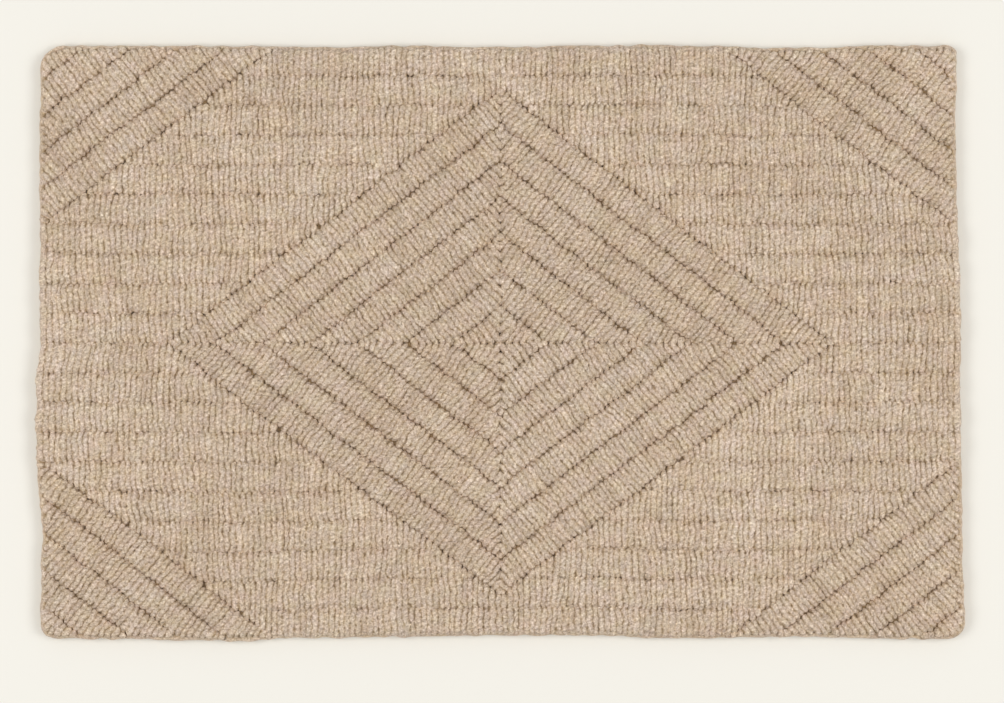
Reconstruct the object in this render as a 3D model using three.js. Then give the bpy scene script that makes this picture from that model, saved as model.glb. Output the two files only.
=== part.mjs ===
// A hand-tufted wool doormat with a dense loop pile, lying flat on the floor.
// Millimetres, +Z up. +X runs along the mat's length and +Y across its width.
// The origin is on the floor, under the middle of the mat's box.
import * as THREE from "three";

// Driving sizes
const LENGTH = 700;
const WIDTH = 450;
const THICKNESS = 14; // ground cloth and loop pile together
const SHOULDER_RADIUS = 7; // the pile rolls over at the rim
const SHOULDER_STEPS = 4;
const HEEL_INSET = 1.5; // the ground cloth's edge tucks in where it meets the floor
const STATION_SPACING = 14; // between points along an edge
const CORNER_STEPS = 5;
const SMALLEST_CORNER = 1;

// The four hand-made corners, anticlockwise from the front left: which side each is on, and its radius.
const CORNERS = [
  { name: "front left", side: -1, end: -1, radius: 10 },
  { name: "front right", side: 1, end: -1, radius: 13 },
  { name: "back right", side: 1, end: 1, radius: 6 },
  { name: "back left", side: -1, end: 1, radius: 17 },
];

// How far the two long edges stray outwards from straight, at places along the length.
const LONG_EDGE_STRAY = [
  { along: -320, front: 1.1, back: 0.5 },
  { along: -240, front: 1.8, back: 0.3 },
  { along: -200, front: 2.6, back: 0.2 },
  { along: -160, front: 0.5, back: -0.3 },
  { along: -120, front: 0.1, back: -0.9 },
  { along: -80, front: -0.5, back: 0.4 },
  { along: 0, front: -1.2, back: -0.5 },
  { along: 80, front: -1.6, back: 0.3 },
  { along: 120, front: 0.3, back: 1.0 },
  { along: 160, front: 0.3, back: 0.5 },
  { along: 200, front: -0.2, back: -0.9 },
  { along: 240, front: -0.5, back: -1.2 },
  { along: 280, front: 0.3, back: 0.3 },
  { along: 320, front: 1.1, back: 0.7 },
];

// The same for the two short edges, at places across the width.
const SHORT_EDGE_STRAY = [
  { across: -205, left: -1.1, right: 4.2 },
  { across: -170, left: -1.1, right: 2.6 },
  { across: -140, left: -2.4, right: 2.4 },
  { across: -110, left: 1.0, right: 1.8 },
  { across: -70, left: 2.3, right: 1.0 },
  { across: -30, left: 2.5, right: 0.4 },
  { across: 0, left: -0.9, right: 1.1 },
  { across: 40, left: 0, right: 0.8 },
  { across: 80, left: -0.8, right: -1.1 },
  { across: 120, left: -0.1, right: -2.3 },
  { across: 160, left: 0, right: -3.2 },
  { across: 200, left: -1.1, right: -1.9 },
];

// Reads a column of a table between its rows, eased so that the edge has no kinks.
function readTable(table, place, at, column) {
  const after = table.findIndex((row) => row[place] > at);
  if (after === 0) return table[0][column];
  if (after < 0) return table[table.length - 1][column];
  const [low, high] = [table[after - 1], table[after]];
  const eased = THREE.MathUtils.smoothstep(at, low[place], high[place]);
  return THREE.MathUtils.lerp(low[column], high[column], eased);
}

// Moves a point of the straight mat to where it lies on the uneven one.
// An edge's stray fades evenly from the edge to the mat's middle line.
function strayed(point) {
  const shortEdge = point.x < 0 ? "left" : "right";
  const longEdge = point.y < 0 ? "front" : "back";
  const outX = readTable(SHORT_EDGE_STRAY, "across", point.y, shortEdge);
  const outY = readTable(LONG_EDGE_STRAY, "along", point.x, longEdge);
  return new THREE.Vector2(
    point.x * (1 + outX / (LENGTH / 2)),
    point.y * (1 + outY / (WIDTH / 2)),
  );
}

// The mat's outline drawn in by an inset, as points that match from one inset to the next.
function outline(inset) {
  const arcs = CORNERS.map((corner) => {
    const radius = Math.max(corner.radius - inset, SMALLEST_CORNER);
    const centre = new THREE.Vector2(
      corner.side * (LENGTH / 2 - inset - radius),
      corner.end * (WIDTH / 2 - inset - radius),
    );
    const middle = Math.atan2(corner.end, corner.side);
    return Array.from({ length: CORNER_STEPS + 1 }, (_, step) => {
      const angle = middle + (step / CORNER_STEPS - 0.5) * (Math.PI / 2);
      return new THREE.Vector2(Math.cos(angle), Math.sin(angle))
        .multiplyScalar(radius)
        .add(centre);
    });
  });
  const points = arcs.flatMap((arc, index) => {
    const from = arc[CORNER_STEPS];
    const to = arcs[(index + 1) % arcs.length][0];
    const edgeLength = index % 2 === 0 ? LENGTH : WIDTH;
    const spans = Math.round(edgeLength / STATION_SPACING);
    const stations = Array.from({ length: spans - 1 }, (_, span) =>
      from.clone().lerp(to, (span + 1) / spans),
    );
    return [...arc, ...stations];
  });
  return points.map(strayed);
}

// The rim's section from the floor up: a tucked heel, an upright side and a rounded shoulder.
function rimSection() {
  const shoulder = Array.from({ length: SHOULDER_STEPS + 1 }, (_, step) => {
    const angle = ((step / SHOULDER_STEPS) * Math.PI) / 2;
    return {
      height: THICKNESS - SHOULDER_RADIUS * (1 - Math.sin(angle)),
      inset: SHOULDER_RADIUS * (1 - Math.cos(angle)),
    };
  });
  return [
    { height: 0, inset: HEEL_INSET },
    { height: HEEL_INSET, inset: 0 },
    ...shoulder,
  ];
}

// One closed body: a ring of points for each row of the section, walls between rings, and two flat caps.
function matGeometry() {
  const section = rimSection();
  const rings = section.map((row) => outline(row.inset));
  const count = rings[0].length;
  const positions = rings.flatMap((ring, level) =>
    ring.flatMap((point) => [point.x, point.y, section[level].height]),
  );
  const walls = section.slice(1).flatMap((_, level) =>
    rings[0].flatMap((_, index) => {
      const next = (index + 1) % count;
      const low = level * count;
      const high = low + count;
      return [
        [low + index, low + next, high + next],
        [low + index, high + next, high + index],
      ];
    }),
  );
  const top = (rings.length - 1) * count;
  const underside = THREE.ShapeUtils.triangulateShape(rings[0], []);
  const tread = THREE.ShapeUtils.triangulateShape(rings[rings.length - 1], []);
  const faces = [
    ...walls,
    ...underside.map(([a, b, c]) => [a, c, b]),
    ...tread.map((face) => face.map((index) => index + top)),
  ];
  const geometry = new THREE.BufferGeometry();
  geometry.setAttribute("position", new THREE.Float32BufferAttribute(positions, 3));
  geometry.setIndex(faces.flat());
  return geometry;
}

// Puts the middle of the geometry's box over the origin, leaving its height alone.
function centredOverOrigin(geometry) {
  geometry.computeBoundingBox();
  const middle = geometry.boundingBox.getCenter(new THREE.Vector3());
  geometry.translate(-middle.x, -middle.y, 0);
  geometry.computeVertexNormals();
  return geometry;
}

const wool = new THREE.MeshStandardMaterial({
  color: 0xc4ae97,
  roughness: 0.95,
  metalness: 0,
});

const mat = new THREE.Mesh(centredOverOrigin(matGeometry()), wool);
mat.name = "mat";

const doormat = new THREE.Group();
doormat.add(mat);

export default doormat;
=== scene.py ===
"""Looks of the wool doormat: a ground cloth and a loop pile of arched yarn strands, laid in ribs.

Every length is in metres, in the frame of the CAD model: +X along the mat, +Y across it, +Z up.
The pile is drawn on a straight mat first, and each point is then moved to the uneven mat of the CAD model.
"""

import math
from collections import namedtuple

import bpy
import numpy as np
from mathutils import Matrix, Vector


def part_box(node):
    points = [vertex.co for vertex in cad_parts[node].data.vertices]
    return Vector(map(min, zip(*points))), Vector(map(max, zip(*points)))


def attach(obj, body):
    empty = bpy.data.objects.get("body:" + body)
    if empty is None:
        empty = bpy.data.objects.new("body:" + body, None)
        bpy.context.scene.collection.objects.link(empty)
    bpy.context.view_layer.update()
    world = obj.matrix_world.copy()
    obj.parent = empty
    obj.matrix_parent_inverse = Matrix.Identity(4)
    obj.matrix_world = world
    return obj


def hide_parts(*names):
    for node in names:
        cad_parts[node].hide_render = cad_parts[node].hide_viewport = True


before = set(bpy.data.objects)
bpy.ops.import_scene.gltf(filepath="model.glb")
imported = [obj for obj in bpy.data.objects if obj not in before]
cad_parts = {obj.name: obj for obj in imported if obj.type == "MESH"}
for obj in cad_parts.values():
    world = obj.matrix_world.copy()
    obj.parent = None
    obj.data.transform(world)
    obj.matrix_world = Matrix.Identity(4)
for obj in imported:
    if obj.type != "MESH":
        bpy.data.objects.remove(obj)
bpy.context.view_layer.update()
MM = 0.001
TURN = 2 * math.pi
SEED = 11

# The straight mat that the pile is drawn on, with the radius of each corner by its signs of x and y
LENGTH = 700 * MM
WIDTH = 450 * MM
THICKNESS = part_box("mat")[1].z
SHOULDER = 7 * MM
CORNER_RADII = {(-1, -1): 10 * MM, (1, -1): 13 * MM, (1, 1): 6 * MM, (-1, 1): 17 * MM}

# How the CAD outline is read: its widest points by their height, and its edges well away from the corners
WIDEST_BAND = 0.2 * MM
EDGE_STRAY = 8 * MM
CORNER_CLEARANCE = 18 * MM

# Ribs, the felted rim round them, and how far hand-made grooves and strands stray
GROUND_RIBS = 20
RIB = WIDTH / GROUND_RIBS
RIM_WIDTH = 2.2 * MM
GROOVE_DRIFT = 0.45 * MM
STRAND_LEAN = 1.3 * MM
LEAN_SPREAD = 0.13 * MM
END_SPREAD = 0.5 * MM

# The nested lozenge in the middle, by its half diagonals, and the nested pieces in the corners
LOZENGE_RIBS = 7
LOZENGE_LONG = 252 * MM
LOZENGE_SHORT = 193 * MM
CORNER_RIBS = 5
QUARTER_OVERLAP = 0.9 * MM

# The lozenge's sides all lie at one slope, so each measure below is a distance square to those sides
SLOPE = math.atan2(1 / LOZENGE_SHORT, 1 / LOZENGE_LONG)
LOZENGE_REACH = LOZENGE_LONG * math.cos(SLOPE)
MOTIF_RIB = LOZENGE_REACH / LOZENGE_RIBS
CORNER_REACH = CORNER_RIBS * MOTIF_RIB

# A strand is cut where it leaves its region, and dropped if only a small share of it is left
CUT_SAMPLES = 45
SHORTEST_SHARE = 0.12

# Yarn: its thickness and spacing, how unevenly it is packed, and the girths that packing and spinning allow
YARN_RADIUS = 2.5 * MM
YARN_PITCH = 4.35 * MM
FIRST_STRAND = 0.7 * YARN_RADIUS
PITCH_SPREAD = 0.18 * MM
CROWDING = 1.6 * MM
CROWDING_FADE = 25 * MM
PACKED_GIRTHS = (0.8, 1.25)
GIRTH_SPREAD = 0.04
SPUN_GIRTHS = (0.9, 1.1)

# Yarn: its plies, its beads and lumps, and how much wider than round it is above and below its middle line
PLIES = 2
TWIST_LENGTH = 7.5 * MM
BEAD_LENGTH = 6.5 * MM
BEAD_LENGTH_SHARES = (0.8, 1.3)
BEAD_STRENGTHS = (0.3, 1.0)
BEAD_RISE = 0.3 * MM
BEAD_SWELL = 0.08
LUMPINESS = 0.07
WIDER_ABOVE = 1.13
WIDER_BELOW = 1.5

# Kinds of rib: how their strands are shaped, how much painted shade darkens their grooves, and how light
# their yarn is
RibStyle = namedtuple("RibStyle", "overlap squareness root groove_shade lightness")
GROUND = RibStyle(2.0 * MM, 2.0, 7.6 * MM, 0.24, 0.6)
MOTIF = RibStyle(0.7 * MM, 3.2, 6.0 * MM, 0.25, -0.5)

# Strands grow a little thinner where they end in a groove. In the rim they come down steeply and grow thin
GROOVE_TAPER = 0.16
RIM_ROOT = 2.6 * MM
RIM_ROOT_REACH = 0.8 * MM
RIM_SQUARENESS = 3.2
RIM_TAPER = 0.55

# Arches: how many radii of yarn their ends are set back by, and the least that they may measure
END_SETBACK = 0.85
SHORTEST_HALF = 0.6 * MM
LEAST_RISE = 1.0 * MM
LOWEST_POINT = 0.3 * MM

# How far crowns lie below the top of the pile: by chance, and on strands shorter than a rib is wide
CROWN_SPREAD = 0.5 * MM
SHORT_STRAND_DROP = 2.2 * MM
SHORTEST_OF_RIB = 0.3

# Yarn tubes: rings along a strand, points round it, and finer places that even out the rings' spacing
RINGS = 11
SIDES = 6
FINE_PLACES = 721

# Sideways waves: over the whole mat, along strands in step with those beside them, and each strand's own
SWAY = 0.17 * MM
SWAY_LENGTHS = np.geomspace(7, 28, 18) * MM
Wiggle = namedtuple("Wiggle", "length swing drift heading phase")
WIGGLES = [
    Wiggle(9 * MM, 0.18 * MM, 41 * MM, 0.3, 0.0),
    Wiggle(13 * MM, 0.22 * MM, 53 * MM, 1.4, 2.0),
    Wiggle(21 * MM, 0.26 * MM, 67 * MM, 2.6, 4.0),
]
OWN_SWING = 0.12 * MM
OWN_LENGTH = 9 * MM

# Painted shade: none on a strand's crown, more on its flanks the lower they are, and only a share at the
# open rim
FLANK_SHADE = 0.95
LOWER_FLANK_SHADE = 0.3
GROOVE_SHARPNESS = 1.5
OPEN_RIM = 5 * MM
OPEN_RIM_SHARE = 0.25

# A strand's cell in the bake's map: where its walls and its two caps lie, along the cell and up it
BAKE_WALL_ALONG = (0.05, 0.95)
BAKE_WALL_UP = (0.04, 0.96)
BAKE_CAPS_ALONG = ((0.010, 0.035), (0.965, 0.990))
BAKE_CAP_UP = (0.05, 0.95)

# The mat's body: the spacing of stations round its rim, and how many to each side give its run there
RIM_SPACING = 2.2 * MM
RIM_RUN = 3

# The body's section in millimetres, from the middle of the top to the middle of the underside; the last
# column is the painted shade on each row
RimRow = namedtuple("RimRow", "share inset height lift hollow")
BODY_SECTION = [
    RimRow(0.3, 0.0, 7.8, 0.0, 1.8),
    RimRow(0.6, 0.0, 7.8, 0.0, 1.8),
    RimRow(0.9, 0.0, 7.8, 0.0, 1.8),
    RimRow(1.0, 8.0, 7.8, 0.4, 1.8),
    RimRow(1.0, 5.0, 7.6, 1.9, 1.4),
    RimRow(1.0, 3.4, 7.3, 2.9, 0.9),
    RimRow(1.0, 2.2, 7.1, 2.5, 0.5),
    RimRow(1.0, 1.3, 6.8, 1.7, 0.3),
    RimRow(1.0, 0.6, 6.1, 1.1, 0.3),
    RimRow(1.0, 0.2, 5.2, 0.6, 0.3),
    RimRow(1.0, 0.2, 4.2, 0.3, 0.3),
    RimRow(1.0, 0.5, 3.0, 0.0, 0.3),
    RimRow(1.0, 0.9, 1.8, 0.0, 0.5),
    RimRow(1.0, 1.3, 0.7, 0.0, 0.7),
    RimRow(1.0, 1.8, 0.0, 0.0, 0.9),
    RimRow(0.9, 0.0, 0.0, 0.0, 0.9),
    RimRow(0.6, 0.0, 0.0, 0.0, 0.9),
    RimRow(0.3, 0.0, 0.0, 0.0, 0.9),
]

# Fleece: its two main colours, and tints that are multiplied into them
WARM_FLEECE = (0.663, 0.513, 0.377, 1)
PALE_FLEECE = (0.690, 0.552, 0.425, 1)
TAN_TINT = (1.014, 0.991, 0.991, 1)
ASHEN_TINT = (0.986, 1.009, 1.009, 1)
COOL_TINT = (1.0, 1.0, 1.055, 1)
GOLDEN_TINT = (1.0, 1.0, 0.945, 1)

# How strongly red, green and blue follow the tone and the painted shade, and how fast the painted shade
# deepens
TONE_POWERS = (1.0, 1.13, 1.27)
SHADE_POWERS = (1.0, 1.22, 1.68)
SHADE_GAIN = 1.35

# Where the usual values of a noise lie, and nearly all of them
USUAL_NOISE = (0.3, 0.7)
WIDE_NOISE = (0.25, 0.75)

# Fibres: how close they lie along the yarn and round it, and how they are drawn out on the felt
FIBRES_PER_METRE = 260.0
FIBRES_PER_TURN = 14.0
FELT_STRETCH = (0.3, 0.3, 1.0)

# Bump heights in millimetres
PLY_BUMP = 0.45
FIBRE_BUMP = 0.6
LUMP_BUMP = 2.2
MATTED_BUMP = 0.9
CLUMP_BUMP = 1.4
THREAD_BUMP = 0.4

# Finishes
WOOL_FINISH = {"Roughness": 0.95, "Specular IOR Level": 0.15, "Sheen Weight": 0.12, "Sheen Roughness": 0.6}
CANVAS_FINISH = {"Roughness": 0.9, "Specular IOR Level": 0.2}
CANVAS_COLOUR = (0.66, 0.56, 0.42)
CANVAS_THREAD = 1.1 * MM

# Studio
FLOOR_COLOUR = (0.88, 0.855, 0.785)
FLOOR_ROUGHNESS = 0.9
FLOOR_REACH = 25.0
FLOOR_GAP = 0.5 * MM
LAMP_SIZE = (1.0, 1.6)
LAMP_WATTS = 20.3
LAMP_OUT = 1.6
LAMP_UP = 1.9
SKY_STRENGTH = 0.58

# Camera: the mat's length and middle in pixels of the frame
FRAME_PIXELS = (1004, 703)
MAT_PIXELS = 924
MAT_CENTRE_PIXEL = (500.5, 343.0)
LENS = 100
SENSOR_WIDTH = 36

# Strands as columns: the two ends on the straight mat, the height of each end, and the yarn's girth
Strands = namedtuple("Strands", "start end start_root end_root girth")

# Slow drifts of a set of hand-made lines: of the grooves, of how strands lean and of how they crowd
Drifts = namedtuple("Drifts", "groove lean crowd")


def cad_outline():
    """The mat's widest outline in the CAD model, as points in order of their angle round the middle."""
    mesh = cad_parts["mat"].data
    points = np.empty(len(mesh.vertices) * 3)
    mesh.vertices.foreach_get("co", points)
    points = points.reshape(-1, 3)
    widest = np.abs(points[:, 2] - (THICKNESS - SHOULDER)) < WIDEST_BAND
    ring = np.unique(points[widest, :2].round(6), axis=0)
    return ring[np.argsort(np.arctan2(ring[:, 1], ring[:, 0]))]


OUTLINE = cad_outline()


def edge_line(axis, sign):
    """One edge of the CAD outline: places along it, and its distance from the middle line at each."""
    along, out = OUTLINE[:, 1 - axis], OUTLINE[:, axis] * sign
    half_along = (WIDTH, LENGTH)[axis] / 2
    half_out = (LENGTH, WIDTH)[axis] / 2
    picked = (out > half_out - EDGE_STRAY) & (np.abs(along) < half_along - CORNER_CLEARANCE)
    order = np.argsort(along[picked])
    return along[picked][order], out[picked][order]


EDGES = {(axis, sign): edge_line(axis, sign) for axis in (0, 1) for sign in (-1, 1)}


def on_the_uneven_mat(x, y):
    """Moves points of the straight mat to the CAD mat: each coordinate is stretched so that edges meet."""
    half_x, half_y = LENGTH / 2, WIDTH / 2
    stretch_x = np.where(x > 0, np.interp(y, *EDGES[0, 1]), np.interp(y, *EDGES[0, -1])) / half_x
    stretch_y = np.where(y > 0, np.interp(x, *EDGES[1, 1]), np.interp(x, *EDGES[1, -1])) / half_y
    return x * stretch_x, y * stretch_y


def swayed(x, y):
    """Moves points by a sum of sine waves in many directions, so that nearby strands sway alike."""
    rng = np.random.default_rng(SEED + 1)
    moved = [x.copy(), y.copy()]
    for length in SWAY_LENGTHS:
        heading, phase, way = rng.uniform(0, TURN, 3)
        far = x * math.cos(heading) + y * math.sin(heading)
        wave = SWAY * np.sin(TURN / length * far + phase)
        moved[0] += wave * math.cos(way)
        moved[1] += wave * math.sin(way)
    return moved


def wiggle(middle, s):
    """Sideways wiggle at s along each strand: sines of s, whose phases drift slowly over the mat."""
    total = np.zeros_like(s)
    for wave in WIGGLES:
        far = middle[:, 0] * math.cos(wave.heading) + middle[:, 1] * math.sin(wave.heading)
        total += wave.swing * np.sin(TURN * (s / wave.length + far[:, None] / wave.drift) + wave.phase)
    return total


def rim_distance(x, y):
    """How far a point of the straight mat lies inside its rounded rectangle, negative outside."""
    radius = np.zeros_like(x)
    for (side, end), value in CORNER_RADII.items():
        radius = np.where((x * side >= 0) & (y * end >= 0), value, radius)
    over_x = np.abs(x) - (LENGTH / 2 - radius)
    over_y = np.abs(y) - (WIDTH / 2 - radius)
    outside = np.hypot(np.maximum(over_x, 0), np.maximum(over_y, 0))
    inside = np.minimum(np.maximum(over_x, over_y), 0)
    return radius - outside - inside


def inside_rim(x, y):
    """True where the loops stand: inside the felted rim."""
    return rim_distance(x, y) > RIM_WIDTH


def lozenge_measure(x, y):
    """Distance from the middle, square to the lozenge's sides."""
    return np.abs(x) * math.cos(SLOPE) + np.abs(y) * math.sin(SLOPE)


def corner_measure(x, y):
    """Distance from the nearest corner of the straight mat, square to the lozenge's sides."""
    return lozenge_measure(LENGTH / 2 - np.abs(x), WIDTH / 2 - np.abs(y))


def in_ground(x, y):
    """True on the straight ribs: outside the lozenge and the corner pieces, inside the rim."""
    clear = (lozenge_measure(x, y) > LOZENGE_REACH) & (corner_measure(x, y) > CORNER_REACH)
    return clear & inside_rim(x, y)


class Waver:
    """Slow drift of hand-made lines: a sum of sines, with phases of its own for each line."""

    LENGTHS = np.array([160, 71, 33]) * MM
    SHARES = np.array([0.5, 0.32, 0.18])

    def __init__(self, lines, rng):
        self.phases = rng.uniform(0, TURN, (lines, len(self.LENGTHS)))

    def at(self, line, place):
        """The drift of a line, between -1 and 1, at places along it."""
        return (np.sin(TURN * place[:, None] / self.LENGTHS + self.phases[line]) * self.SHARES).sum(1)


def strand_places(rib, reach, crowd, rng):
    """Places of strands along a rib, and the girth of each as a share of the usual one.

    The borders between strands start a yarn's pitch apart. A slow drift, which dies away at the rib's ends,
    packs them closer in some stretches than in others, and each border is a little uneven.
    """
    low, high = reach
    count = max(1, round((high - low) / YARN_PITCH))
    borders = np.linspace(low, high, count + 1)
    from_end = np.minimum(borders - low, high - borders)
    drift = crowd.at(rib, borders) * np.clip(from_end / CROWDING_FADE, 0, 1)
    borders += CROWDING * drift + rng.normal(0, PITCH_SPREAD, count + 1)
    return (borders[1:] + borders[:-1]) / 2, (np.diff(borders) / YARN_PITCH).clip(*PACKED_GIRTHS)


def rib_strands(rib, ribs, pitch, reach, drifts, rng):
    """Ends of one rib's strands in its own axes, along it and square to it, and the girth of each.

    A strand runs from one groove to the next. Strands lean with those beside them, all grooves but the
    outermost two drift slowly, and each end is a little uneven.
    """
    along, girth = strand_places(rib, reach, drifts.crowd, rng)
    lean = STRAND_LEAN * drifts.lean.at(rib, along) + rng.normal(0, LEAN_SPREAD, len(along))
    uneven = rng.normal(0, END_SPREAD, (2, len(along)))
    ends = []
    for groove, shift, stray in ((rib, -lean, uneven[0]), (rib + 1, lean, uneven[1])):
        drift = GROOVE_DRIFT * drifts.groove.at(groove, along) * (groove not in (0, ribs))
        ends.append(np.stack([along + shift, groove * pitch + drift + stray], 1))
    return *ends, girth


def cut_to_region(start, end, inside):
    """Cuts each strand to the longest stretch of it inside a region.

    Returns the new ends, whether each end was cut, and which strands are long enough to keep.
    """
    share = np.linspace(0, 1, CUT_SAMPLES)
    points = start[:, None] + (end - start)[:, None] * share[None, :, None]
    mask = inside(points[..., 0], points[..., 1])
    run = np.zeros(mask.shape, int)
    run[:, 0] = mask[:, 0]
    for step in range(1, CUT_SAMPLES):
        run[:, step] = (run[:, step - 1] + 1) * mask[:, step]
    last = run.argmax(1)
    length = run.max(1)
    first = np.maximum(last - length + 1, 0)
    rows = np.arange(len(start))
    long_enough = length > SHORTEST_SHARE * CUT_SAMPLES
    return points[rows, first], points[rows, last], first > 0, last < CUT_SAMPLES - 1, long_enough


def end_heights(tips, plain):
    """The height of each strand's end: low where it ends in the rim, and as given elsewhere."""
    in_the_rim = rim_distance(tips[:, 0], tips[:, 1]) < RIM_WIDTH + RIM_ROOT_REACH
    return np.where(in_the_rim, RIM_ROOT, plain)


def joined(rows):
    """Joins rows of arrays, column by column."""
    return [np.concatenate(column) for column in zip(*rows)]


def line_drifts(lines, rng):
    """The slow drifts of a number of hand-made lines."""
    return Drifts(Waver(lines, rng), Waver(lines, rng), Waver(lines, rng))


def ground_strands(rng):
    """Straight ribs along the mat, cut where they meet the lozenge, the corner pieces and the rim."""
    drifts = line_drifts(GROUND_RIBS + 1, rng)
    half = LENGTH / 2 - RIM_WIDTH - FIRST_STRAND + YARN_PITCH / 2
    rows = [rib_strands(rib, GROUND_RIBS, RIB, (-half, half), drifts, rng) for rib in range(GROUND_RIBS)]
    start, end, girth = joined(rows)
    to_middle = (0, WIDTH / 2)
    start, end, cut_start, cut_end, kept = cut_to_region(start - to_middle, end - to_middle, in_ground)
    start_root = end_heights(start, np.where(cut_start, MOTIF.root, GROUND.root))
    end_root = end_heights(end, np.where(cut_end, MOTIF.root, GROUND.root))
    return Strands(start[kept], end[kept], start_root[kept], end_root[kept], girth[kept])


def turned_to_quarter(points, side, end, from_corner):
    """Turns points from a rib's own axes to a quarter of the mat, from its middle or from its corner."""
    along, out = points[:, 0], points[:, 1]
    x = out * math.cos(SLOPE) - along * math.sin(SLOPE)
    y = out * math.sin(SLOPE) + along * math.cos(SLOPE)
    if from_corner:
        x, y = LENGTH / 2 - x, WIDTH / 2 - y
    return np.stack([side * x, end * y], 1)


def quarter_strands(ribs, side, end, from_corner, rng):
    """Ribs of one quarter of the lozenge, or of one corner piece, along the lozenge's side there."""
    drifts = line_drifts(ribs + 1, rng)
    rows = []
    for rib in range(ribs):
        outer = (rib + 1) * MOTIF_RIB
        reach = (-outer * math.tan(SLOPE), outer / math.tan(SLOPE))
        rows.append(rib_strands(rib, ribs, MOTIF_RIB, reach, drifts, rng))
    starts, ends, girth = joined(rows)
    starts = turned_to_quarter(starts, side, end, from_corner)
    ends = turned_to_quarter(ends, side, end, from_corner)

    def in_quarter(x, y):
        return (side * x > -QUARTER_OVERLAP) & (end * y > -QUARTER_OVERLAP)

    region = inside_rim if from_corner else in_quarter
    starts, ends, _, _, kept = cut_to_region(starts, ends, region)
    start_roots = end_heights(starts, MOTIF.root)
    end_roots = end_heights(ends, MOTIF.root)
    return Strands(starts[kept], ends[kept], start_roots[kept], end_roots[kept], girth[kept])


def motif_strands(ribs, from_corner, rng):
    """The four quarters of a motif, one after another."""
    quarters = [quarter_strands(ribs, side, end, from_corner, rng) for side in (-1, 1) for end in (-1, 1)]
    return Strands(*joined(quarters))


def halves(strands):
    """The strands of the left half and of the right half."""
    left = (strands.start[:, 0] + strands.end[:, 0]) < 0
    return [Strands(*(column[side] for column in strands)) for side in (left, ~left)]


def superellipse(place, squareness):
    """The rise, from 0 at the ends to 1 in the middle, of a superellipse at a place from -1 to 1."""
    return np.clip(1 - np.abs(place) ** squareness, 0, 1) ** (1 / squareness)


def arch_places(squareness, height_share):
    """Places from -1 to 1 of a strand's rings, spaced evenly along the length of its superellipse."""
    fine = -np.cos(np.linspace(0, math.pi, FINE_PLACES))
    rise = superellipse(fine, squareness) * height_share
    travelled = np.cumsum(np.hypot(np.diff(fine, prepend=-1), np.diff(rise, prepend=0)))
    return np.interp(np.linspace(0, travelled[-1], RINGS), travelled, fine)


def crown_heights(middle, length, radius, rng):
    """Height of each arch's crown: it follows the round shoulder at the rim and drops on short strands."""
    near_rim = np.clip(1 - rim_distance(middle[:, 0], middle[:, 1]) / SHOULDER, 0, 1)
    drop = SHOULDER * (1 - np.sqrt(1 - near_rim ** 2))
    uneven = np.abs(rng.normal(0, CROWN_SPREAD, len(length)))
    short = 1 - np.clip(length / RIB, SHORTEST_OF_RIB, 1)
    return THICKNESS - radius - BEAD_RISE - drop - uneven - short * SHORT_STRAND_DROP


def bead_waves(s, rng):
    """Beads along each strand: a sine of s, with a length, a phase and a strength of its own."""
    column = (len(s), 1)
    length = BEAD_LENGTH * rng.uniform(*BEAD_LENGTH_SHARES, column)
    turns = s / length + rng.uniform(0, 1, column)
    return np.sin(TURN * turns) * rng.uniform(*BEAD_STRENGTHS, column)


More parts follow.
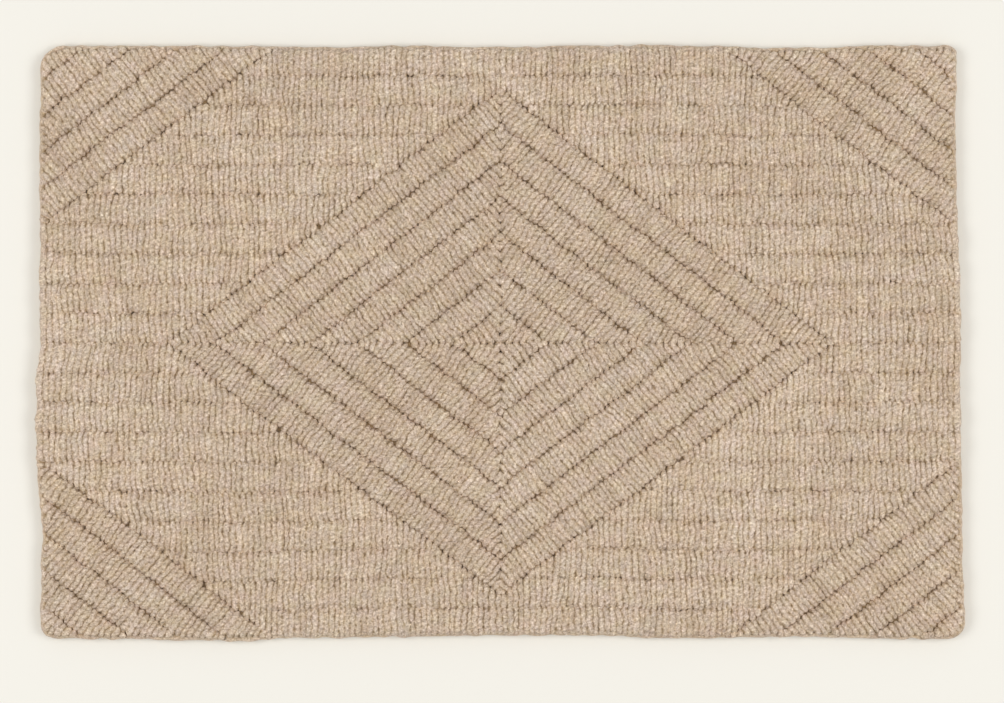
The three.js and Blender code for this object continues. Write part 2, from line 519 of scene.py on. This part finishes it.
def yarn_tubes(name, strands, style, rng):
    """Sweeps a closed yarn tube along each strand's arch.

    The middle line of a tube is a superellipse: s along the strand, t to its side and z up. It wiggles a
    little to both sides, and beads rise and swell along it. Round it the yarn is an ellipse that is wider
    than it is high, and wider still below. All strands are worked out together, as arrays of strands,
    rings and sides.
    """
    count = len(strands.start)
    column = (count, 1)
    middle, run = (strands.start + strands.end) / 2, strands.end - strands.start
    length = np.linalg.norm(run, axis=1)
    across = run / length[:, None]
    radius = YARN_RADIUS * strands.girth * rng.normal(1, GIRTH_SPREAD, count).clip(*SPUN_GIRTHS)
    half = np.maximum(length / 2 - END_SETBACK * radius + style.overlap, SHORTEST_HALF)
    crown = crown_heights(middle, length, radius, rng)[:, None]

    # The middle line, and how far round its twist has gone at each ring
    place = arch_places(style.squareness, (THICKNESS - style.root) / (RIB / 2))
    root = np.where(place < 0, strands.start_root[:, None], strands.end_root[:, None])
    in_rim = root == RIM_ROOT
    rise = superellipse(place, np.where(in_rim, RIM_SQUARENESS, style.squareness))
    root = np.minimum(root, crown - LEAST_RISE)
    s = half[:, None] * place
    beads = bead_waves(s, rng)
    z = root + (crown - root) * rise + BEAD_RISE * beads * rise
    t = wiggle(middle, s) + OWN_SWING * np.sin(TURN * s / OWN_LENGTH + rng.uniform(0, TURN, column))
    steps = np.hypot(np.diff(s, axis=1, prepend=s[:, :1]), np.diff(z, axis=1, prepend=z[:, :1]))
    travelled = np.cumsum(steps, axis=1)
    twist = TURN * (travelled / TWIST_LENGTH + rng.uniform(0, 1, column))

    # Points round the middle line, square to its slope, from the lowest one
    slope = np.arctan2(np.gradient(z, axis=1), np.gradient(s, axis=1))[..., None]
    angle = -math.pi / 2 + np.arange(SIDES) * TURN / SIDES
    lumps = 1 + BEAD_SWELL * beads[..., None] + rng.normal(0, LUMPINESS, (count, RINGS, SIDES))
    taper = np.where(in_rim, RIM_TAPER, GROOVE_TAPER) * (1 - rise) ** 2
    girth = (radius[:, None] * (1 - taper))[..., None] * lumps
    sideways = girth * np.cos(angle) * np.where(np.sin(angle) < 0, WIDER_BELOW, WIDER_ABOVE)
    upwards = girth * np.sin(angle)
    ahead = s[..., None] - upwards * np.sin(slope)
    aside = t[..., None] + sideways
    height = np.clip(z[..., None] + upwards * np.cos(slope), LOWEST_POINT, None)

    # The same points on the mat
    across_x, across_y = across[:, 0, None, None], across[:, 1, None, None]
    x = middle[:, 0, None, None] + across_x * ahead - across_y * aside
    y = middle[:, 1, None, None] + across_y * ahead + across_x * aside
    open_rim = np.clip(rim_distance(x, y) / OPEN_RIM, OPEN_RIM_SHARE, 1)
    x, y = on_the_uneven_mat(*swayed(x, y))
    points = np.stack([x, y, height], -1).reshape(-1, 3)

    # What the wool reads at each point: the place on the yarn, the strand's tone and its painted shade
    around = ((angle - twist[..., None]) / TURN).reshape(count, -1)
    along = np.repeat(travelled + rng.uniform(0, 1, column), SIDES, axis=1)
    tone = np.repeat(rng.normal(style.lightness, 1, count), RINGS * SIDES)
    # Painted shade darkens the lower flanks, where strands meet, and the ends in the grooves; less is kept
    # at the open rim
    highest = np.arange(SIDES) == SIDES // 2
    flank_shade = np.where(highest, 0.0, FLANK_SHADE - LOWER_FLANK_SHADE * np.sin(angle))
    hollow = (flank_shade + style.groove_shade * (1 - rise[..., None]) ** GROOVE_SHARPNESS) * open_rim
    return tube_piece(name, points, along, around, {"tone": tone, "hollow": hollow.ravel()})


def tube_faces():
    """Faces of one closed tube, and the ring and the side where each of its wall quads starts.

    Quads run between the rings, and two quads close the six points of each end.
    """
    ring, side = np.meshgrid(np.arange(RINGS - 1), np.arange(SIDES), indexing="ij")
    ring, side = ring.ravel(), side.ravel()
    beside = (side + 1) % SIDES
    wall = np.stack([ring * SIDES + side, ring * SIDES + beside,
                     (ring + 1) * SIDES + beside, (ring + 1) * SIDES + side], 1)
    cap = np.array([[0, 1, 2, 3], [0, 3, 4, 5]])
    return np.concatenate([wall, cap[:, ::-1], cap + (RINGS - 1) * SIDES]), ring, side


def between(limits, share):
    """The value at a share of the way from the lower limit to the upper one."""
    return limits[0] + (limits[1] - limits[0]) * share


def bake_cell(ring, side):
    """Places of a tube's face corners in its cell: the wall unrolled, and a cap in a strip at each end."""
    wall_along = between(BAKE_WALL_ALONG, np.stack([ring, ring, ring + 1, ring + 1], 1) / (RINGS - 1))
    wall_up = between(BAKE_WALL_UP, np.stack([side, side + 1, side + 1, side], 1) / SIDES)
    cap_share = np.array([[0, 1, 1, 0], [0, 1, 1, 0]])
    caps_along = [between(limits, cap_share) for limits in BAKE_CAPS_ALONG]
    cap_up = between(BAKE_CAP_UP, np.array([[0, 0, 0.5, 0.5], [0.5, 0.5, 1, 1]]))
    return np.concatenate([wall_along, *caps_along]), np.concatenate([wall_up, cap_up, cap_up])


def tube_piece(name, points, along, around, values):
    """One piece of many closed tubes, with maps of the yarn and for the bake, and values at its points."""
    count = len(along)
    tube, ring, side = tube_faces()
    faces = (tube[None] + (np.arange(count) * RINGS * SIDES)[:, None, None]).reshape(-1, 4)
    mesh = bpy.data.meshes.new(name)
    mesh.vertices.add(len(points))
    mesh.vertices.foreach_set("co", points.astype(np.float32).ravel())
    mesh.loops.add(faces.size)
    mesh.loops.foreach_set("vertex_index", faces.astype(np.int32).ravel())
    mesh.polygons.add(len(faces))
    mesh.polygons.foreach_set("loop_start", np.arange(0, faces.size, 4, dtype=np.int32))
    mesh.polygons.foreach_set("use_smooth", np.ones(len(faces), bool))
    mesh.update(calc_edges=True)

    # The yarn's own map: length along the strand, and the turns round it that stay with a ply
    seam = np.zeros(tube.shape)
    seam[: len(side)][side == SIDES - 1, 1:3] = 1
    add_map(mesh, "yarn", along[:, tube], around[:, tube] + seam)

    # The bake's map: a cell for each strand, about twice as long as it is high
    cell_along, cell_up = bake_cell(ring, side)
    columns = math.ceil(math.sqrt(count / 2))
    rows = math.ceil(count / columns)
    row, column = np.divmod(np.arange(count)[:, None, None], columns)
    add_map(mesh, "OFBake", (column + cell_along) / columns, (row + cell_up) / rows)

    for label, value in values.items():
        add_value(mesh, label, value)
    return new_piece(name, mesh)


def add_map(mesh, name, u, v):
    """Adds a UV map from arrays of u and v at every face corner."""
    corners = np.stack([u, v], -1).astype(np.float32)
    mesh.uv_layers.new(name=name).data.foreach_set("uv", corners.ravel())


def add_value(mesh, name, values):
    """Adds an attribute with a number at every point."""
    mesh.attributes.new(name, "FLOAT", "POINT").data.foreach_set("value", values.astype(np.float32))


def new_piece(name, data):
    """A new object in the scene for a mesh, a lamp or a camera."""
    piece = bpy.data.objects.new(name, data)
    bpy.context.scene.collection.objects.link(piece)
    return piece


def rim_stations():
    """The CAD outline at an even spacing, and the way out at each station: its run there, turned."""
    ring = np.concatenate([OUTLINE, OUTLINE[:1]])
    far = np.concatenate([[0], np.cumsum(np.linalg.norm(np.diff(ring, axis=0), axis=1))])
    even = np.linspace(0, far[-1], round(far[-1] / RIM_SPACING), endpoint=False)
    ring = np.stack([np.interp(even, far, ring[:, 0]), np.interp(even, far, ring[:, 1])], 1)
    ahead = np.roll(ring, -RIM_RUN, 0) - np.roll(ring, RIM_RUN, 0)
    ahead /= np.linalg.norm(ahead, axis=1)[:, None]
    return ring, np.stack([ahead[:, 1], -ahead[:, 0]], 1)


def shell_faces(levels, stations):
    """Faces of a closed shell of rings: quads between levels, and a fan to a middle point at each end.

    Returns the quads with the level where each starts, the first fan and the last one.
    """
    level, station = np.meshgrid(np.arange(levels - 1), np.arange(stations), indexing="ij")
    level, station = level.ravel(), station.ravel()
    after = (station + 1) % stations
    walls = np.stack([level * stations + station, (level + 1) * stations + station,
                      (level + 1) * stations + after, level * stations + after], 1)
    first = np.arange(stations)
    beside = np.roll(first, -1)
    last_ring = (levels - 1) * stations
    top, bottom = levels * stations, levels * stations + 1
    crown = np.stack([np.full(stations, top), first, beside], 1)
    base = np.stack([np.full(stations, bottom), last_ring + beside, last_ring + first], 1)
    return walls, level, crown, base


def mat_body():
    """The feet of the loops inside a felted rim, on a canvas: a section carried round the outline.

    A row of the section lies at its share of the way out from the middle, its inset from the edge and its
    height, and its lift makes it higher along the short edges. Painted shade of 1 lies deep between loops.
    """
    share, inset, height, lift, hollow = np.array(BODY_SECTION).T[..., None]
    ring, outward = rim_stations()
    x = share * ring[:, 0] - inset * MM * outward[:, 0]
    y = share * ring[:, 1] - inset * MM * outward[:, 1]
    x, y = swayed(x, y)
    z = (height + lift * outward[:, 0] ** 2) * MM
    top, underside = BODY_SECTION[0], BODY_SECTION[-1]
    middles = [[0, 0, top.height * MM], [0, 0, underside.height * MM]]
    points = np.concatenate([np.stack([x, y, z], -1).reshape(-1, 3), middles])

    walls, level, crown, base = shell_faces(len(BODY_SECTION), len(ring))
    mesh = bpy.data.meshes.new("mat_body")
    mesh.from_pydata(points.tolist(), [], walls.tolist() + crown.tolist() + base.tolist())
    mesh.update()
    mesh.polygons.foreach_set("use_smooth", np.ones(len(mesh.polygons), bool))
    on_floor = height.ravel() == 0
    under = on_floor[level] & on_floor[level + 1]
    canvas = np.concatenate([under, np.zeros(len(crown)), np.ones(len(base))])
    mesh.polygons.foreach_set("material_index", canvas.astype(np.int32))
    # Painted shade on the felt: deepest between the loops on top, and darker low on the rim's side near the
    # floor
    painted_shades = np.concatenate([np.repeat(hollow.ravel(), len(ring)), [top.hollow, underside.hollow]])
    add_value(mesh, "hollow", painted_shades)
    return new_piece("mat_body", mesh)


class Nodes:
    """Adds nodes to a tree. An input is a value, or a socket to link from."""

    def __init__(self, tree):
        self.tree = tree

    def add(self, kind, inputs=(), **settings):
        """A node of a kind, with its settings and inputs."""
        node = self.tree.nodes.new(kind)
        for key, value in settings.items():
            setattr(node, key, value)
        for key, value in dict(inputs).items():
            if isinstance(value, bpy.types.NodeSocket):
                self.tree.links.new(value, node.inputs[key])
            else:
                node.inputs[key].default_value = value
        return node

    def place(self):
        """The place on the mat, in metres."""
        return self.add("ShaderNodeTexCoord").outputs["Object"]

    def value(self, name):
        """A value that the mesh holds at its points."""
        return self.add("ShaderNodeAttribute", attribute_name=name).outputs["Fac"]

    def math(self, operation, a, b=0.0):
        """A sum, a product or the like of two values."""
        return self.add("ShaderNodeMath", {0: a, 1: b}, operation=operation).outputs[0]

    def product(self, first, *others):
        """The product of several values."""
        for other in others:
            first = self.math("MULTIPLY", first, other)
        return first

    def noise(self, place, per_metre, detail=2.0):
        """A noise from 0 to 1, mostly in its middle, with about this many patches to the metre."""
        inputs = {"Vector": place, "Scale": per_metre, "Detail": detail}
        return self.add("ShaderNodeTexNoise", inputs).outputs["Fac"]

    def spread(self, value, span, to=(0.0, 1.0)):
        """A value that lies in one span, carried over to another and kept inside it."""
        inputs = {0: value, 1: span[0], 2: span[1], 3: to[0], 4: to[1]}
        return self.add("ShaderNodeMapRange", inputs).outputs[0]

    def patches(self, place, per_metre, to=(0.0, 1.0)):
        """A noise carried over to a span from its usual values."""
        return self.spread(self.noise(place, per_metre), USUAL_NOISE, to)

    def blend(self, share, a, b):
        """A colour between two others."""
        return self.add("ShaderNodeMix", {0: share, 6: a, 7: b}, data_type="RGBA").outputs[2]

    def times(self, a, b):
        """The product of two colours or places."""
        return self.add("ShaderNodeVectorMath", {0: a, 1: b}, operation="MULTIPLY").outputs[0]

    def scale(self, colour, value):
        """A colour made lighter or darker."""
        return self.add("ShaderNodeVectorMath", {0: colour, "Scale": value}, operation="SCALE").outputs[0]

    def surface(self, colour, height, bump_strength, finish):
        """Ends a material in a surface of a colour, a bump height in millimetres and a plain finish."""
        bump_inputs = {"Height": height, "Strength": bump_strength, "Distance": 1.0 * MM}
        bump = self.add("ShaderNodeBump", bump_inputs).outputs[0]
        shader = self.add("ShaderNodeBsdfPrincipled", {"Base Color": colour, "Normal": bump, **finish})
        self.add("ShaderNodeOutputMaterial", {"Surface": shader.outputs[0]})


def heathered_fleece():
    """Undyed fleece: soft pale and warm patches, finer tints of tan, ash and gold, and a speckle.

    A tone of 1 leaves it as it is. Painted shade darkens green and blue more than red, so that it turns
    brown.
    """
    group = bpy.data.node_groups.new("heathered_fleece", "ShaderNodeTree")
    group.interface.new_socket("Place", in_out="INPUT", socket_type="NodeSocketVector")
    group.interface.new_socket("Tone", in_out="INPUT", socket_type="NodeSocketFloat")
    group.interface.new_socket("Hollow", in_out="INPUT", socket_type="NodeSocketFloat")
    group.interface.new_socket("Colour", in_out="OUTPUT", socket_type="NodeSocketColor")
    n = Nodes(group)
    given = n.add("NodeGroupInput").outputs
    place = given["Place"]
    colour = n.blend(n.patches(place, per_metre=30), WARM_FLEECE, PALE_FLEECE)
    tint = n.blend(n.patches(place, per_metre=75), TAN_TINT, ASHEN_TINT)
    gilding = n.blend(n.patches(place, per_metre=110), COOL_TINT, GOLDEN_TINT)

    broad = n.patches(place, per_metre=7, to=(0.965, 1.035))
    blotch = n.patches(place, per_metre=85, to=(0.975, 1.025))
    speckle = n.spread(n.noise(place, per_metre=480), WIDE_NOISE, to=(0.74, 1.26))
    fine_speckle = n.spread(n.noise(place, per_metre=850, detail=1), WIDE_NOISE, to=(0.76, 1.24))
    tone = n.product(speckle, fine_speckle, broad, blotch, given["Tone"])
    # Painted shade: the creases between strands and the grooves are darker, and browner
    shading = n.spread(given["Hollow"], (0.1, 1.6), to=(1.03, 0.46))
    channels = [n.product(n.math("POWER", tone, tone_power), n.math("POWER", shading, shade_power))
                for tone_power, shade_power in zip(TONE_POWERS, SHADE_POWERS)]
    shade = n.add("ShaderNodeCombineColor", dict(enumerate(channels))).outputs[0]
    n.add("NodeGroupOutput", {"Colour": n.times(n.times(colour, n.times(tint, gilding)), shade)})
    return group


def new_material(name):
    """An empty material, with a helper that adds its nodes."""
    material = bpy.data.materials.new(name)
    material.use_nodes = True
    material.node_tree.nodes.clear()
    return material, Nodes(material.node_tree)


def fibrous_skin(n, fleece, place, tone, hollow, height):
    """Matte wool of the given tone and painted shade, with the given bump height in millimetres."""
    skin = n.add("ShaderNodeGroup", {"Place": place, "Tone": tone, "Hollow": hollow}, node_tree=fleece)
    n.surface(skin.outputs["Colour"], height, 1.0, WOOL_FINISH)


def pile_wool(fleece):
    """Yarn of two plies with fibres along them, a tone for each strand, and ragged brown painted shade."""
    material, n = new_material("pile_wool")
    yarn = n.add("ShaderNodeSeparateXYZ", {0: n.add("ShaderNodeUVMap", uv_map="yarn").outputs[0]})
    along, around = yarn.outputs[0], yarn.outputs[1]
    place = n.place()

    # Plies stand up as rounded ridges that wander a little, fibres run along them, and the yarn is lumpy
    wander = n.spread(n.noise(place, per_metre=260), (0.2, 0.8), to=(-0.16, 0.16))
    ply = n.math("ABSOLUTE", n.math("SINE", n.product(n.math("ADD", around, wander), PLIES * math.pi)))
    fibre_axes = {0: n.product(along, FIBRES_PER_METRE), 1: n.product(around, FIBRES_PER_TURN)}
    fibres = n.noise(n.add("ShaderNodeCombineXYZ", fibre_axes).outputs[0], 1.0, detail=3)
    lumps = n.noise(place, per_metre=360, detail=1)
    height = n.math("ADD", n.product(ply, PLY_BUMP), n.product(fibres, FIBRE_BUMP))
    height = n.math("ADD", height, n.product(lumps, LUMP_BUMP))

    # Painted shade has ragged borders and deepens as a square, so that the shaded gaps between strands are
    # narrow
    ragged = n.patches(place, per_metre=330, to=(-0.35, 0.35))
    hollow = n.math("MAXIMUM", n.math("ADD", n.value("hollow"), ragged), 0.0)
    hollow = n.product(n.math("POWER", hollow, 2.0), SHADE_GAIN)

    # The tone differs by strand, with rare pale flecks, painted shade in the lines between plies and
    # streaks of fibre
    fleck = n.spread(n.noise(place, per_metre=210, detail=1), (0.72, 0.78), to=(0, 0.22))
    strand_tone = n.math("ADD", n.spread(n.value("tone"), (-3, 3), to=(0.9, 1.1)), fleck)
    painted_ply_shade = n.spread(ply, (0, 1), to=(0.9, 1.03))
    fibre_tone = n.spread(fibres, WIDE_NOISE, to=(0.92, 1.08))
    fibrous_skin(n, fleece, place, n.product(strand_tone, painted_ply_shade, fibre_tone), hollow, height)
    return material


def rim_felt(fleece):
    """Felted wool: matted fibres on the rim, and painted shade on the packed feet between the loops."""
    material, n = new_material("rim_felt")
    place = n.place()
    matted = n.noise(n.times(place, FELT_STRETCH), per_metre=1500, detail=3)
    clumps = n.noise(place, per_metre=260)
    height = n.math("ADD", n.product(matted, MATTED_BUMP), n.product(clumps, CLUMP_BUMP))
    matted_tone = n.spread(matted, USUAL_NOISE, to=(0.88, 1.10))
    clump_tone = n.spread(clumps, USUAL_NOISE, to=(0.93, 1.03))
    fibrous_skin(n, fleece, place, n.product(matted_tone, clump_tone), n.value("hollow"), height)
    return material


def backing_canvas():
    """Plain-weave canvas: warp and weft threads that pass over and under each other in turn, with painted
    shade where they dip and between them.
    """
    material, n = new_material("backing_canvas")
    place = n.place()
    axes = n.add("ShaderNodeSeparateXYZ", {0: place}).outputs
    warp, weft = (n.math("SINE", n.product(axes[k], math.pi / CANVAS_THREAD)) for k in (0, 1))
    over = n.spread(n.product(warp, weft), (-0.15, 0.15))
    weave = n.blend(over, n.math("ABSOLUTE", warp), n.math("ABSOLUTE", weft))
    slub = n.spread(n.noise(place, per_metre=140, detail=3), USUAL_NOISE, to=(0.86, 1.1))
    # The weave's low places are darker: painted shade between the threads
    tone = n.product(n.spread(weave, (0, 1), to=(0.62, 1.05)), slub)
    n.surface(n.scale(CANVAS_COLOUR, tone), n.product(weave, THREAD_BUMP), 0.8, CANVAS_FINISH)
    return material


def pale_floor():
    """A wide pale floor, just under the mat."""
    signs = ((-1, -1), (1, -1), (1, 1), (-1, 1))
    corners = [(x * FLOOR_REACH, y * FLOOR_REACH, -FLOOR_GAP) for x, y in signs]
    mesh = bpy.data.meshes.new("floor")
    mesh.from_pydata(corners, [], [(0, 1, 2, 3)])
    material = bpy.data.materials.new("pale_floor")
    material.use_nodes = True
    paint = material.node_tree.nodes["Principled BSDF"].inputs
    paint["Base Color"].default_value = (*FLOOR_COLOUR, 1)
    paint["Roughness"].default_value = FLOOR_ROUGHNESS
    mesh.materials.append(material)
    new_piece("floor", mesh)


def soft_light():
    """Two wide lamps at the left and right, turned to the middle of the mat, and an even white sky."""
    for side in (-1, 1):
        lamp = bpy.data.lights.new("lamp", "AREA")
        lamp.shape = "RECTANGLE"
        lamp.size, lamp.size_y = LAMP_SIZE
        lamp.energy = LAMP_WATTS
        piece = new_piece("lamp", lamp)
        piece.location = (side * LAMP_OUT, 0.0, LAMP_UP)
        piece.rotation_euler = (0, side * math.atan2(LAMP_OUT, LAMP_UP), 0)
    world = bpy.data.worlds.new("studio")
    world.use_nodes = True
    sky = world.node_tree.nodes["Background"].inputs
    sky["Color"].default_value = (1.0, 1.0, 1.0, 1)
    sky["Strength"].default_value = SKY_STRENGTH
    bpy.context.scene.world = world
    bpy.context.scene.view_settings.view_transform = "Standard"


def camera_above():
    """A camera straight above, at the height and place where the mat covers its pixels of the frame."""
    camera = bpy.data.cameras.new("camera")
    camera.lens = LENS
    camera.sensor_width = SENSOR_WIDTH
    pixel = LENGTH / MAT_PIXELS
    right, down = (MAT_CENTRE_PIXEL[k] - FRAME_PIXELS[k] / 2 for k in (0, 1))
    above = LENS / SENSOR_WIDTH * FRAME_PIXELS[0] * pixel
    piece = new_piece("camera", camera)
    piece.location = (-right * pixel, down * pixel, above + THICKNESS)
    bpy.context.scene.camera = piece


rng = np.random.default_rng(SEED)
fleece = heathered_fleece()
wool = pile_wool(fleece)
ground_left, ground_right = halves(ground_strands(rng))
lozenge_left, lozenge_right = halves(motif_strands(LOZENGE_RIBS, False, rng))
corners = motif_strands(CORNER_RIBS, True, rng)
pile = [
    yarn_tubes("pile_ground_left", ground_left, GROUND, rng),
    yarn_tubes("pile_ground_right", ground_right, GROUND, rng),
    yarn_tubes("pile_lozenge_left", lozenge_left, MOTIF, rng),
    yarn_tubes("pile_lozenge_right", lozenge_right, MOTIF, rng),
    yarn_tubes("pile_corners", corners, MOTIF, rng),
]
for piece in pile:
    piece.data.materials.append(wool)
    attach(piece, "root")

body = mat_body()
body.data.materials.append(rim_felt(fleece))
body.data.materials.append(backing_canvas())
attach(body, "root")
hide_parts("mat")

pale_floor()
soft_light()
camera_above()
